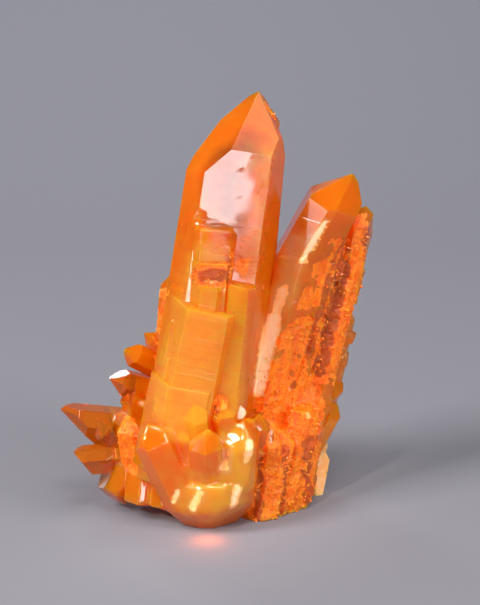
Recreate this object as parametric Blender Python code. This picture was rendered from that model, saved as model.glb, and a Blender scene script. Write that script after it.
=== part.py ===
"""Tangerine quartz cluster: intergrown points on a broken, iron-stained base, as one solid.

Every crystal is cleaved from a block, one flat face at a time, as six sides and a six-faced
point. Boolean unions then grow them together. Sizes in the tables are millimetres.
The front of the cluster faces -Y, +X is to its right and +Z is up.
"""

import math
import random
from dataclasses import dataclass

import bmesh
import bpy
from mathutils import Matrix, Vector

MM = 0.001
POINT_SLOPE = 38.2  # degrees between a quartz point's faces and the length of the crystal
SIDE_STEP = 60.0  # degrees between neighbouring sides
BLOCK = 400.0  # the block that every piece is cleaved from
SEED = 7
SAME_POINT = 2e-6  # metres; corners closer than this are one corner
NEARLY_FLAT = 0.2  # degrees between faces that count as one

ORANGE = (0.86, 0.30, 0.02, 1.0)
QUARTZ_ROUGHNESS = 0.12


@dataclass
class Crystal:
    """foot and tip are the ends of the line that the sides are measured from.

    sides are the six distances from that line, level with the tip: the first faces the front,
    turned to the right by turn, and the others follow it round to the right. lifts say how far
    above the tip each of the six point faces crosses the line. cuts are more faces, each as
    (degrees round to the right, degrees from the crystal's length, how far beyond the tip).
    """

    name: str
    foot: tuple
    tip: tuple
    sides: tuple
    turn: float = 0.0
    lifts: tuple = (0.0,) * 6
    spread: float = 0.8
    cuts: tuple = ()


BROKEN = (30.0,) * 6  # lifts that leave no point: the crystal ends at its cuts

# The two big points, and the crystals grown along them.
MAIN = (
    Crystal("tall_point", (-4.8, -7, 10), (11.4, 10, 119.4), (13.4, 9.6, 9.0, 10, 12, 18.9), 9.5, spread=1.0,
            lifts=(0, 0, 1.5, 0, 1.6, 0), cuts=((-98, 25.5, 4.3), (100, 24, 1.8), (100, 4.5, 8.2))),
    Crystal("tall_back_growth", (-2, 0, 10), (4, 15, 84), (9, 7, 6, 6.5, 7, 8), 14, spread=1.0),
    Crystal("tall_left_growth", (-10, -1, 10), (-3.5, 8, 70), (8, 7, 6, 6.5, 7, 8), 2),
    Crystal("tall_side_tip", (9.8, 6.5, 84), (14.9, 9.8, 114.6), (3.4, 2.6, 3, 3, 3, 3), 9.5),
    Crystal("stub", (-3.0, -12, 60), (-0.2, -10, 88), (4.2, 5.6, 5, 5, 5, 5.8), 8, BROKEN,
            cuts=((0, 84, -3.2), (0, 50, 0.2), (-90, 55, -0.4), (90, 32, 2.4))),
    Crystal("stub_block", (-3.4, -12, 58), (-1.2, -10.6, 80), (5.6, 6.0, 5, 5, 5, 6.0), 8, BROKEN,
            cuts=((-10, 82, -4.2),)),
    Crystal("leaning_point", (8, 12, 40), (37.6, 4, 96.6), (7, 6.3, 8, 9, 7.8, 8), 30,
            lifts=(0, 2.2, 1.0, 0.4, 0.5, 0), cuts=((0, 0, 8.2),)),
    Crystal("leaning_body", (10.8, 4.2, -3), (34.0, 8.7, 86), (5.0, 4.5, 9, 10, 13, 11.8), 30),
    Crystal("coated_point", (20, 6, -3), (42.5, 13, 86.0), (4.6, 2.7, 6, 8, 6, 5), 12,
            lifts=(0, 2, 0, 0, 3, 0)),
    Crystal("coated_rib", (24, 3, 14), (40.5, 9, 78), (3.4, 3.0, 4, 5, 4, 3), 38),
    Crystal("coated_back", (18, 9, 8), (33, 19, 72), (7, 6, 6, 6, 7, 7), 20),
    Crystal("front_point", (-12, -14, 16), (-1.2, -11.5, 70), (9, 9.4, 9, 8, 9, 9.4), 0, BROKEN,
            cuts=((6, 82, -6.4), (-70, 62, 0.5))),
    Crystal("front_point_skirt", (-13, -14, 16), (-6, -12.6, 50), (9.8, 9.6, 9, 8, 9, 10), 0, BROKEN,
            cuts=((-12, 84, -7.8),)),
    Crystal("front_step", (-10.2, -12.5, 20), (-0.9, -9.5, 78), (8.6, 6.4, 6, 6, 6, 6.0), 0, BROKEN,
            cuts=((-8, 80, -7.4),)),
    Crystal("front_slant", (-15.6, -12, 26), (-7.4, -9, 72.6), (4.6, 4.2, 5, 5, 4.2, 4.6), 12),
    Crystal("narrow_rib", (0.8, -17.5, 20), (7.1, -12.5, 78), (3.6, 3.9, 4, 4, 4, 3.9), -4, BROKEN,
            cuts=((40, 76, -8.4),)),
    Crystal("narrow_rib_step", (1.0, -17, 20), (5.2, -13.6, 54), (4.4, 4.4, 4, 4, 4, 4.2), -2, BROKEN,
            cuts=((30, 70, -9.6),)),
    Crystal("front_lump", (-1.5, -14, -4), (-1.5, -14, 16.5), (13, 13.4, 12, 12, 13, 14.2), 0, BROKEN,
            spread=0,
            cuts=((38, 0, 12.7), (72, 0, 12.0), (-28, 0, 13.4), (-100, 0, 13.0), (0, -45, 15.6),
                  (38, -42, 14.4), (72, -40, 15.6), (-28, -45, 16.4), (-62, -45, 17.8), (0, 62, 4.6),
                  (60, 58, 4.6), (-55, 58, 5.2), (0, 88, 4.0))),
    Crystal("root_rib_1", (11, -9, -3), (18.6, -5.8, 27), (5.2, 5, 5, 5, 5, 5), 18, BROKEN,
            cuts=((10, 42, -0.6), (100, 62, -2.0))),
    Crystal("root_rib_2", (16, -5, -3), (25.6, -0.4, 33), (4.8, 4.6, 4.6, 4.6, 4.6, 4.6), 32, BROKEN,
            cuts=((60, 46, -0.8), (-40, 60, -1.6))),
    Crystal("root_rib_3", (20, 1, -3), (29.0, 5, 28), (4.2, 4.0, 4.0, 4.0, 4.0, 4.0), 12, BROKEN,
            cuts=((80, 45, -1.0), (-30, 58, -2.0))),
    Crystal("left_spear", (-20, 3, 25.2), (-45.4, -3, 29.9), (3.2, 1.2, 3.2, 6, 10, 6), 30),
    Crystal("left_spear_low", (-18, 0, 18.2), (-40.6, -8, 19.0), (2.2, 0.6, 2.5, 4.6, 7.2, 4.4), 30,
            lifts=(1, 0, 1, 4, 7, 4), cuts=((270, 52, 0.9),)),
    Crystal("left_column_1", (-22.6, -2, 18), (-32.4, -7, 2.6), (4.6, 4, 4, 4.4, 4.2, 4.4), 20, BROKEN,
            cuts=((20, 78, -2.6),)),
    Crystal("left_column_2", (-20, -5, 20), (-22.6, -11, 2.0), (4.6, 4.4, 4, 4.4, 4.2, 5.4), 45, BROKEN,
            cuts=((200, 78, -2.6),)),
    Crystal("left_column_3", (-15, -8, 18), (-16.8, -14, 2.2), (4.6, 4.4, 4, 4.4, 4.2, 5.0), 10, BROKEN,
            cuts=((160, 76, -2.4),)),
)

# Small crystals as (name, foot, tip, distance to the sides, turn).
SMALL = (
    ("right_bud_1", (31, 10, 45), (39.6, 14, 47.6), 2.4, 10),
    ("right_bud_2", (29, 10, 37), (38.0, 15, 41.6), 2.6, 25),
    ("right_bud_3", (26, 6, 25), (36.0, 12, 33.6), 2.8, 5),
    ("right_bud_4", (26.0, 4, 14), (34.2, 8, 27.9), 3.1, 15),
    ("right_bud_5", (25, 6, 12), (31.8, 10, 15.6), 2.2, 40),
    ("right_white", (27, 8, -2), (30.4, 12, 13.5), 2.8, 20),
    ("left_bud_1", (-14.8, 4, 44), (-12.8, 5, 67.0), 4.1, 20),
    ("left_bud_2", (-14, 4, 44), (-21.3, 4, 50), 2.6, 0),
    ("left_bud_3", (-14, 4, 38.4), (-26.6, 0, 46.2), 3.2, 15),
    ("left_clear", (-16, 6, 32), (-31, -2, 38.6), 3.2, 30),
    ("left_upright", (-22, 4, 14), (-25.2, 0, 36.4), 3.8, 10),
    ("left_orange", (-22, 2, 8), (-34.4, -6, 26.6), 3.0, 5),
    ("left_coated", (-22.6, -5, 8), (-25.8, -9, 29.6), 4.2, 28),
    ("front_lean_1", (-9.6, -18, 8.0), (-19.4, -25, 32.8), 5.5, 12),
    ("front_lean_2", (-4.4, -18, 12), (-6.4, -22.5, 37.8), 4.0, 20),
    ("front_lean_3", (-7, -18, 12), (-9.8, -22, 31.4), 3.4, 5),
    ("front_bud_1", (-3, -18, 8), (-3.4, -28.6, 31.6), 4.4, 30),
    ("front_bud_2", (4, -13, 14), (1.0, -20.0, 38), 4.0, 10),
    ("front_bud_3", (6, -15, 8), (7.4, -22, 32), 5.0, 22),
    ("middle_bud_1", (9, -10, 14), (11.2, -16.5, 32.5), 3.2, 18),
    ("middle_bud_2", (12, -9, 10), (14.6, -13.5, 27), 3.0, 35),
    ("middle_bud_3", (4, -12, 20), (6.2, -19, 36), 2.6, 12),
    ("right_bud_6", (25, 4, 22), (32.4, 4, 31.0), 2.4, 25),
    ("right_bud_7", (24, 2, 30), (32.4, 6, 37.6), 2.2, 8),
    ("back_point_1", (4, 4, 14), (-4, 27, 51), 6.4, 10),
    ("back_point_2", (14, 6, 12), (22, 30, 43), 5.6, 24),
    ("back_point_3", (-8, 4, 12), (-16, 25, 33), 5.0, 16),
    ("back_point_4", (10, 8, 6), (9, 31, 25), 5.0, 5),
)

# Growth along the sides of the big crystals, as (crystal, which side, how many, from and to as
# parts of its length, how far to either side, least and greatest distance to their sides).
GROWTH = (
    ("leaning_body", 0, 12, (0.12, 0.86), 3.6, (1.2, 2.2)),
    ("leaning_body", 1, 5, (0.1, 0.8), 3.0, (1.2, 2.2)),
    ("coated_point", 0, 7, (0.1, 0.9), 1.6, (1.0, 1.6)),
    ("coated_point", 1, 6, (0.1, 0.8), 1.6, (0.7, 1.1)),
    ("coated_point", 2, 6, (0.1, 0.8), 1.6, (1.2, 1.8)),
    ("coated_back", 3, 7, (0.1, 0.95), 3.0, (1.4, 2.4)),
    ("coated_back", 2, 5, (0.1, 0.95), 3.0, (1.4, 2.4)),
    ("leaning_point", 3, 4, (0.1, 0.8), 3.0, (1.2, 2.0)),
    ("tall_point", 2, 4, (0.3, 0.8), 3.0, (1.6, 2.6)),
    ("tall_point", 3, 4, (0.3, 0.8), 3.0, (1.6, 2.6)),
    ("tall_point", 4, 4, (0.3, 0.8), 3.0, (1.6, 2.6)),
    ("front_point", 5, 3, (0.1, 0.8), 2.0, (1.2, 2.0)),
    ("root_rib_1", 0, 5, (0.0, 0.9), 2.6, (1.0, 1.8)),
    ("root_rib_1", 1, 4, (0.0, 0.9), 2.4, (1.0, 1.8)),
    ("root_rib_2", 0, 5, (0.0, 0.9), 2.4, (1.0, 1.8)),
    ("root_rib_2", 5, 4, (0.0, 0.9), 2.4, (1.0, 1.6)),
    ("root_rib_3", 0, 4, (0.0, 0.9), 2.2, (1.0, 1.6)),
    ("root_rib_3", 1, 4, (0.0, 0.9), 2.0, (0.8, 1.4)),
)

# Crusts of small crystals, as (name, how many, middle, how far out and how far up and down,
# bearings in degrees from +X towards +Y, lengths, distances to their sides).
DRUSE = (
    ("back_druse", 26, (4, 6, 15), (11, 11), (35, 165), (7, 14), (1.8, 3.4)),
    ("left_druse", 10, (-12, 2, 22), (6, 12), (130, 215), (5, 10), (1.4, 2.6)),
    ("right_druse", 8, (20, 8, 22), (5, 12), (10, 80), (5, 9), (1.4, 2.6)),
    ("front_druse", 8, (3, -13, 24), (5, 6), (215, 330), (5, 8), (1.3, 2.2)),
)

# Pits, as (crystal, which side, how many, from and to along it, from and to across, half widths).
PITS = (
    ("tall_point", 0, 7, (0.56, 0.8), (0.5, 5.5), (0.5, 1.1)),
    ("leaning_body", 0, 8, (0.2, 0.8), (-4, 3), (0.6, 1.3)),
    ("coated_point", 0, 5, (0.3, 0.9), (-2, 2), (0.5, 1.0)),
    ("tall_point", 3, 6, (0.5, 0.85), (-4, 4), (0.6, 1.3)),
)

# Broken stone without crystal faces, as (name, centre, half sizes, how many flat breaks).
LUMPS = (
    ("core", (1, 1, 16), (21, 15, 15), 34),
    ("front_fill", (-8.4, -20, 17), (6.2, 5.2, 9), 22),
    ("front_bright", (4.4, -20, 19), (6.4, 6.4, 10), 24),
    ("right_root", (17.0, 1.5, 7), (10.5, 11, 11), 28),
    ("back_root", (6, 14, 7), (17, 11, 10), 28),
)


def cleave(block, point, normal):
    """Cuts away what lies beyond a plane and closes the cut with one face."""
    whole = block.verts[:] + block.edges[:] + block.faces[:]
    made = bmesh.ops.bisect_plane(
        block, geom=whole, dist=1e-6, plane_co=point, plane_no=normal, clear_outer=True
    )
    rim = [part for part in made["geom_cut"] if isinstance(part, bmesh.types.BMEdge)]
    if rim:
        bmesh.ops.edgeloop_fill(block, edges=rim)


def new_block(centre):
    """A cube round the centre, far bigger than the piece that is cleaved from it."""
    block = bmesh.new()
    bmesh.ops.create_cube(block, size=BLOCK, matrix=Matrix.Translation(centre))
    return block


def finished(block, name):
    """Turns the cleaved block into an object in metres: the closed hull of its corners."""
    corners = [vert.co * MM for vert in block.verts]
    block.free()
    hull = bmesh.new()
    for corner in corners:
        hull.verts.new(corner)
    bmesh.ops.remove_doubles(hull, verts=hull.verts, dist=SAME_POINT)
    made = bmesh.ops.convex_hull(hull, input=hull.verts)
    unused = [part for part in made["geom_interior"] if isinstance(part, bmesh.types.BMVert)]
    bmesh.ops.delete(hull, geom=unused, context="VERTS")
    flat = math.radians(NEARLY_FLAT)
    bmesh.ops.dissolve_limit(hull, angle_limit=flat, verts=hull.verts, edges=hull.edges)
    bmesh.ops.recalc_face_normals(hull, faces=hull.faces)
    mesh = bpy.data.meshes.new(name)
    hull.to_mesh(mesh)
    hull.free()
    piece = bpy.data.objects.new(name, mesh)
    bpy.context.scene.collection.objects.link(piece)
    return piece


def bearings(foot, tip):
    """The crystal's length, and the two directions across it that face the front and the right."""
    along = (tip - foot).normalized()
    front = Vector((0, -1, 0))
    if abs(along.y) > 0.9:
        front = Vector((0, 0, 1))
    front = (front - along * front.dot(along)).normalized()
    return along, front, along.cross(front)


def tilted(along, front, right, round_to_right, slope):
    """The outward direction of a face that stands round_to_right and leans in by slope."""
    turn = math.radians(round_to_right)
    outward = front * math.cos(turn) + right * math.sin(turn)
    lean = math.radians(slope)
    return outward * math.cos(lean) + along * math.sin(lean)


def grow(crystal):
    """Cleaves one crystal: its foot, its six sides, the six faces of its point and its other cuts."""
    foot = Vector(crystal.foot)
    tip = Vector(crystal.tip)
    along, front, right = bearings(foot, tip)
    block = new_block((foot + tip) / 2)
    cleave(block, foot, -along)
    for number in range(6):
        bearing = crystal.turn + number * SIDE_STEP
        side = tilted(along, front, right, bearing, crystal.spread)
        cleave(block, tip + side * crystal.sides[number], side)
        face = tilted(along, front, right, bearing, POINT_SLOPE)
        cleave(block, tip + along * crystal.lifts[number], face)
    for bearing, slope, beyond in crystal.cuts:
        face = tilted(along, front, right, bearing, slope)
        cleave(block, tip + face * beyond, face)
    return finished(block, crystal.name)


def grow_small(name, foot, tip, size, turn, chance):
    """A small crystal is never regular: its sides and point faces differ a little."""
    sides = tuple(size * chance.uniform(0.82, 1.12) for _ in range(6))
    lifts = tuple(size * chance.uniform(0.0, 0.5) for _ in range(6))
    return grow(Crystal(name, foot, tip, sides, turn, lifts))


def on_side(host, side, part_way, across):
    """A point on one side of a crystal, part_way from foot to tip, and the way out from it."""
    foot = Vector(host.foot)
    tip = Vector(host.tip)
    along, front, right = bearings(foot, tip)
    bearing = host.turn + side * SIDE_STEP
    outward = tilted(along, front, right, bearing, 0)
    sideways = tilted(along, front, right, bearing + 90, 0)
    below = (tip - foot).length * (1 - part_way)
    lean = math.radians(host.spread)
    out = (host.sides[side] + below * math.sin(lean)) / math.cos(lean)
    return tip - along * below + outward * out + sideways * across, outward


def parallel_growth(host, side, count, along_host, across, size, chance):
    """Slimmer crystals grown along one side of a bigger one, each standing a little proud.

    along_host is the stretch they may cover, as parts of the host's length, across how far
    they may stray to either side, and size the least and greatest distance to their sides.
    """
    grown = []
    for number in range(count):
        thick = chance.uniform(*size)
        sunk = thick * chance.uniform(0.4, 0.75)
        start = chance.uniform(along_host[0], along_host[1] - 0.08)
        end = min(start + chance.uniform(0.08, 0.3), along_host[1])
        stray = chance.uniform(-across, across)
        low, outward = on_side(host, side, start, stray)
        high, outward = on_side(host, side, end, stray)
        turn = host.turn + side * SIDE_STEP + chance.uniform(-12, 12)
        sides = tuple(thick * chance.uniform(0.9, 1.15) for _ in range(6))
        lifts = tuple(thick * chance.uniform(0.0, 1.2) for _ in range(6))
        name = f"{host.name}_growth_{side}_{number}"
        low -= outward * sunk
        high -= outward * sunk
        grown.append(grow(Crystal(name, low, high, sides, turn, lifts)))
    return grown


def druse(name, count, middle, spread, bearing_range, length, size, chance):
    """A crust of small crystals that point away from the middle of the stone they sit on.

    spread is how far their feet lie from the middle in plan, and how far above and below it.
    """
    centre = Vector(middle)
    grown = []
    for number in range(count):
        bearing = math.radians(chance.uniform(*bearing_range))
        out = Vector((math.cos(bearing), math.sin(bearing), 0))
        level = chance.uniform(-1, 1)
        foot = centre + out * spread[0] * math.sqrt(1 - 0.6 * level * level)
        foot.z += spread[1] * level
        way = out + Vector((chance.uniform(-0.3, 0.3), chance.uniform(-0.3, 0.3), 0.35 + 0.5 * level))
        tip = foot + way.normalized() * chance.uniform(*length)
        tip.z = max(tip.z, 2.0)
        thick = chance.uniform(*size)
        grown.append(grow_small(f"{name}_{number}", foot, tip, thick, chance.uniform(0, 60), chance))
    return grown


def lump(name, centre, half_sizes, breaks, chance):
    """Stone broken off all round: flat breaks that touch an ellipsoid, spread over it evenly."""
    middle = Vector(centre)
    block = new_block(middle)
    golden = math.pi * (3 - math.sqrt(5))
    for number in range(breaks):
        height = 1 - 2 * (number + 0.5) / breaks
        reach = math.sqrt(1 - height * height)
        turn = number * golden
        out = Vector((reach * math.cos(turn), reach * math.sin(turn), height))
        out += Vector([chance.uniform(-0.22, 0.22) for _ in range(3)])
        out.normalize()
        touch = Vector([out[axis] * half_sizes[axis] for axis in range(3)])
        normal = Vector([out[axis] / half_sizes[axis] for axis in range(3)]).normalized()
        cleave(block, middle + touch * chance.uniform(0.88, 1.06), normal)
    return finished(block, name)


def pits(host, side, count, along_host, across, size, chance):
    """Shallow hollows, where the side of a crystal was pitted."""
    made = []
    for number in range(count):
        wide = chance.uniform(*size)
        place = chance.uniform(*along_host)
        spot, outward = on_side(host, side, place, chance.uniform(*across))
        spot += outward * wide * 0.25
        half_sizes = (wide, wide * 0.7, wide * chance.uniform(0.7, 1.4))
        made.append(lump(f"{host.name}_pit_{side}_{number}", spot, half_sizes, 12, chance))
    return made


def combined(body, others, operation):
    """Adds the other pieces to the body, or takes them away from it, and puts them away."""
    group = bpy.data.collections.new("others")
    bpy.context.scene.collection.children.link(group)
    for piece in others:
        bpy.context.scene.collection.objects.unlink(piece)
        group.objects.link(piece)
    step = body.modifiers.new("step", "BOOLEAN")
    step.operation = operation
    step.solver = "EXACT"
    step.operand_type = "COLLECTION"
    step.collection = group
    solved = body.evaluated_get(bpy.context.evaluated_depsgraph_get())
    mesh = bpy.data.meshes.new_from_object(solved)
    body.modifiers.remove(step)
    body.data = mesh
    for piece in others:
        bpy.data.objects.remove(piece)
    bpy.data.collections.remove(group)


def outer_shell(form):
    """Leaves only the largest closed shell, so no hollow is sealed in between the crystals."""
    shells = []
    waiting = set(form.faces)
    while waiting:
        shell = set()
        front = [waiting.pop()]
        while front:
            face = front.pop()
            shell.add(face)
            for edge in face.edges:
                for neighbour in edge.link_faces:
                    if neighbour in waiting:
                        waiting.discard(neighbour)
                        front.append(neighbour)
        shells.append(shell)
    shells.sort(key=lambda shell: sum(face.calc_area() for face in shell))
    inner = [face for shell in shells[:-1] for face in shell]
    bmesh.ops.delete(form, geom=inner, context="FACES")
    return len(shells)


def seated(body):
    """Saws the underside flat and puts its middle, seen in plan, on the origin."""
    form = bmesh.new()
    form.from_mesh(body.data)
    cleave(form, Vector((0, 0, 0)), Vector((0, 0, -1)))
    bmesh.ops.remove_doubles(form, verts=form.verts, dist=SAME_POINT)
    bmesh.ops.dissolve_degenerate(form, edges=form.edges, dist=SAME_POINT)
    shells = outer_shell(form)
    corners = [vert.co for vert in form.verts]
    low = Vector([min(corner[axis] for corner in corners) for axis in range(3)])
    high = Vector([max(corner[axis] for corner in corners) for axis in range(3)])
    middle = (low + high) / 2
    bmesh.ops.translate(form, verts=form.verts, vec=(-middle.x, -middle.y, -low.z))
    bmesh.ops.triangulate(form, faces=form.faces)
    form.to_mesh(body.data)
    form.free()
    size = [round((high[axis] - low[axis]) / MM, 2) for axis in range(3)]
    print("shells", shells, "size mm", size, "triangles", len(body.data.polygons))
    print("moved mm", [round(value / MM, 3) for value in (-middle.x, -middle.y, -low.z)])


def stone(name, colour, roughness):
    """The stone's material: plain coloured quartz with a glassy surface."""
    material = bpy.data.materials.new(name)
    material.use_nodes = True
    shader = material.node_tree.nodes["Principled BSDF"]
    shader.inputs["Base Color"].default_value = colour
    shader.inputs["Roughness"].default_value = roughness
    material.diffuse_color = colour
    return material


for old in list(bpy.data.objects):
    bpy.data.objects.remove(old)

chance = random.Random(SEED)
pieces = [grow(crystal) for crystal in MAIN]
hosts = {crystal.name: crystal for crystal in MAIN}
for name, side, count, along_host, across, size in GROWTH:
    pieces += parallel_growth(hosts[name], side, count, along_host, across, size, chance)
pieces += [grow_small(*row, chance) for row in SMALL]
pieces += [lump(*row, chance) for row in LUMPS]
for row in DRUSE:
    pieces += druse(*row, chance)
hollows = []
for name, side, count, along_host, across, size in PITS:
    hollows += pits(hosts[name], side, count, along_host, across, size, chance)
cluster = pieces[0]
combined(cluster, pieces[1:], "UNION")
combined(cluster, hollows, "DIFFERENCE")
seated(cluster)
cluster.name = "quartz_cluster"
cluster.data.name = "quartz_cluster"
cluster.data.materials.clear()
cluster.data.materials.append(stone("orange_quartz", ORANGE, QUARTZ_ROUGHNESS))
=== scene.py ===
# %% [markdown]
# # A cluster of tangerine quartz
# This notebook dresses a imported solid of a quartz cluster: it keeps every crystal where the solid
# has it and gives the stone its growth lines, its iron-stained crust and its glassy, milky orange.
# One unit is a metre. The front of the cluster faces -Y, +X is to its right and +Z is up.

import math
import random

import bmesh
import bpy
import numpy as np
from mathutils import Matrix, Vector, noise


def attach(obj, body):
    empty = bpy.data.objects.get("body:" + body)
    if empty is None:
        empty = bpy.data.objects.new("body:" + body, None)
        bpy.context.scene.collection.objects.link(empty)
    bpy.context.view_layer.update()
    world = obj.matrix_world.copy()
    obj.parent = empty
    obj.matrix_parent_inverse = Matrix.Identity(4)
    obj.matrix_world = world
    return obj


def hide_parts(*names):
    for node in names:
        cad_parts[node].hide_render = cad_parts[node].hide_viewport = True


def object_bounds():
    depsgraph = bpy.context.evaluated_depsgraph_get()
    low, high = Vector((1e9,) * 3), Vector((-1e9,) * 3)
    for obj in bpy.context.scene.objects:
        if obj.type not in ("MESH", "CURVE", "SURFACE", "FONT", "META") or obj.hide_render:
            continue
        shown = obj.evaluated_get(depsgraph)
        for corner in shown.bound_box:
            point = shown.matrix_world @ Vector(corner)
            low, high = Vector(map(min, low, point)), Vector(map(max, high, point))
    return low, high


MM = 0.001
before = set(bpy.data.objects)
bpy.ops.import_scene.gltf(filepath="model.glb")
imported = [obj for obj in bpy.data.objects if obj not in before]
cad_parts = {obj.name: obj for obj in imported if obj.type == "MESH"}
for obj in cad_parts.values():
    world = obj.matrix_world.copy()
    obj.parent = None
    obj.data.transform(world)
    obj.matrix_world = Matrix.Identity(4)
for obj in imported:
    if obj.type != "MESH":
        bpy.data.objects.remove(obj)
cad_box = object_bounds()
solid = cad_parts["quartz_cluster"]
print("the solid has", len(solid.data.polygons), "triangles")

# %% [markdown]
# ## The camera
# The photograph was taken from a little above, with a long lens. A lens is long when its focal
# length is large for the width of the film: it flattens the depth, and upright crystals stay
# upright. The camera stands on a circle round the point it aims at, so its angle above the floor
# and its distance are the two numbers to set.

# %% Place the camera
AIM = Vector((6.43, -0.43, 60.6)) * MM
CAMERA_DISTANCE = 477 * MM
CAMERA_RISE = math.radians(14)
FOCAL_LENGTH = 100  # millimetres
FILM_WIDTH = 36
NEAREST_SEEN = 10 * MM


def look_from(item, place, target):
    """Puts a camera or a light at a place, turned so that it looks at the target."""
    item.location = place
    item.rotation_euler = (target - place).to_track_quat("-Z", "Y").to_euler()


def around(distance, bearing, rise, centre=AIM):
    """A point that far from the centre: bearing turns from the front to the right, in degrees."""
    turn = math.radians(bearing)
    level = distance * math.cos(math.radians(rise))
    height = distance * math.sin(math.radians(rise))
    return centre + Vector((level * math.sin(turn), -level * math.cos(turn), height))


def add(name, data):
    """Puts a mesh, a lamp or a camera into the scene as an object."""
    made = bpy.data.objects.new(name, data)
    bpy.context.scene.collection.objects.link(made)
    return made


camera = add("camera", bpy.data.cameras.new("camera"))
camera.data.lens = FOCAL_LENGTH
camera.data.sensor_width = FILM_WIDTH
camera.data.clip_start = NEAREST_SEEN
look_from(camera, around(CAMERA_DISTANCE, 0, math.degrees(CAMERA_RISE)), AIM)
bpy.context.scene.camera = camera
print("the camera stands", round(camera.location.length, 3), "m from the stone")

# %% [markdown]
# ## Light
# A glassy stone shows what surrounds it, so it is lit by large soft panels. Each panel is an area
# light: it gives soft shadows, and a crystal face that mirrors it turns pale. A face mirrors the
# panel that lies in one direction only, so each bearing and rise was found by following the line of
# sight from the camera to a face and on from there. The key panel on the left gives most light.

# %% Set the light
bpy.context.scene.view_settings.view_transform = "Standard"

PANELS = (
    # name, bearing, rise, distance, width, height, brightness, colour
    ("key_panel", -56, 43, 0.9, 0.28, 0.34, 32.0, (1.0, 0.97, 0.95)),
    ("over_panel", 12, 58, 0.9, 0.30, 0.30, 13.0, (1.0, 0.98, 0.96)),
    ("right_panel", 56, 24, 0.9, 0.34, 0.34, 12.0, (1.0, 0.97, 0.94)),
    ("front_panel", 22, 6, 1.0, 0.20, 0.24, 13.0, (0.99, 0.97, 1.0)),
    ("side_panel", -57, 4, 0.9, 0.26, 0.20, 4.5, (1.0, 0.95, 0.95)),
    ("tip_panel", -158, 43, 0.9, 0.18, 0.18, 12.0, (1.0, 0.98, 0.96)),
    ("top_panel", 84, 72, 0.9, 0.5, 0.5, 1.8, (1.0, 0.97, 0.95)),
    ("back_panel", 180, 75, 0.9, 1.2, 0.4, 6.0, (0.93, 0.95, 1.0)),
)
BACK_AIM = Vector((0, 1.3, 0.7))  # the panel that lights the wall


def panel(name, bearing, rise, distance, width, height, brightness, colour):
    """A panel of an even brightness. A face that mirrors it shows about a twentieth of that."""
    light = bpy.data.lights.new(name, "AREA")
    light.shape = "RECTANGLE"
    light.size = width
    light.size_y = height
    light.energy = brightness * math.pi * width * height
    light.color = colour
    aim = BACK_AIM if name == "back_panel" else AIM
    look_from(add(name, light), around(distance, bearing, rise), aim)


for row in PANELS:
    panel(*row)
print("panels:", ", ".join(row[0] for row in PANELS))

# %% [markdown]
# ## Light out of the stone
# Light that goes into a clear orange stone comes out again lower down: the base shines, and an
# orange gleam lies on the floor before it. Following that light through the stone takes very many
# samples, so two small lamps stand for it: a disk close over the floor, and a narrow spot that
# reaches the base alone. The room around them is a dim even grey.

# %% Add the small lamps and the room
GLOW_PLACE = Vector((-2.5, -28.5, 4.5)) * MM
GLOW_LEAN = Vector((0, -0.35, -1))  # it looks down and a little forward
glow = bpy.data.lights.new("glow_panel", "AREA")
glow.shape = "DISK"
glow.size = 6 * MM
glow.energy = 0.0014
glow.color = (1.0, 0.15, 0.015)
look_from(add("glow_panel", glow), GLOW_PLACE, GLOW_PLACE + GLOW_LEAN)

BASE_AIM = Vector((-3, -20, 15)) * MM
base_lamp = bpy.data.lights.new("base_lamp", "SPOT")
base_lamp.spot_size = math.radians(6)
base_lamp.spot_blend = 1.0
base_lamp.shadow_soft_size = 20 * MM
base_lamp.energy = 23.0
base_lamp.color = (1.0, 0.93, 0.82)
look_from(add("base_lamp", base_lamp), around(0.9, -30, 30), BASE_AIM)

ROOM_GREY = (0.33, 0.33, 0.36, 1)
ROOM_STRENGTH = 0.35
world = bpy.data.worlds.new("room")
bpy.context.scene.world = world
world.use_nodes = True
world.node_tree.nodes["Background"].inputs["Color"].default_value = ROOM_GREY
world.node_tree.nodes["Background"].inputs["Strength"].default_value = ROOM_STRENGTH
print("small lamps:", glow.name, "and", base_lamp.name)

# %% [markdown]
# ## Floor and backdrop
# The stone stands on a sheet of grey paper that runs up behind it, as on a small photo table. A
# floor and a wall would show a corner. One strip of faces swept along a quarter circle does not,
# and it shades from light to dark by itself.

# %% Sweep the backdrop
SWEEP_WIDTH = 4.0
SWEEP_FRONT = -2.0
SWEEP_START = 0.35  # where the floor begins to rise behind the stone
SWEEP_RADIUS = 0.9
SWEEP_TOP = 2.5
SWEEP_STEPS = 24
PAPER_GREY = (0.182, 0.183, 0.212, 1)
PAPER_ROUGHNESS = 0.9


def backdrop():
    """A floor that runs up into a wall in one soft curve, so no corner shows."""
    line = [(SWEEP_FRONT, 0.0), (SWEEP_START, 0.0)]
    for step in range(1, SWEEP_STEPS + 1):
        turn = math.pi / 2 * step / SWEEP_STEPS
        rise = SWEEP_RADIUS * (1 - math.cos(turn))
        line.append((SWEEP_START + SWEEP_RADIUS * math.sin(turn), rise))
    line.append((SWEEP_START + SWEEP_RADIUS, SWEEP_TOP))
    form = bmesh.new()
    rows = []
    for depth, height in line:
        rows.append([form.verts.new((side * SWEEP_WIDTH / 2, depth, height)) for side in (-1, 1)])
    for low, high in zip(rows, rows[1:]):
        form.faces.new((low[0], low[1], high[1], high[0]))
    mesh = bpy.data.meshes.new("backdrop")
    form.to_mesh(mesh)
    form.free()
    mesh.shade_smooth()
    return add("backdrop", mesh)


paper = bpy.data.materials.new("paper")
paper.use_nodes = True
paper.node_tree.nodes["Principled BSDF"].inputs["Base Color"].default_value = PAPER_GREY
paper.node_tree.nodes["Principled BSDF"].inputs["Roughness"].default_value = PAPER_ROUGHNESS
floor = backdrop()
floor.data.materials.append(paper)
print("the backdrop has", len(floor.data.polygons), "faces")

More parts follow.
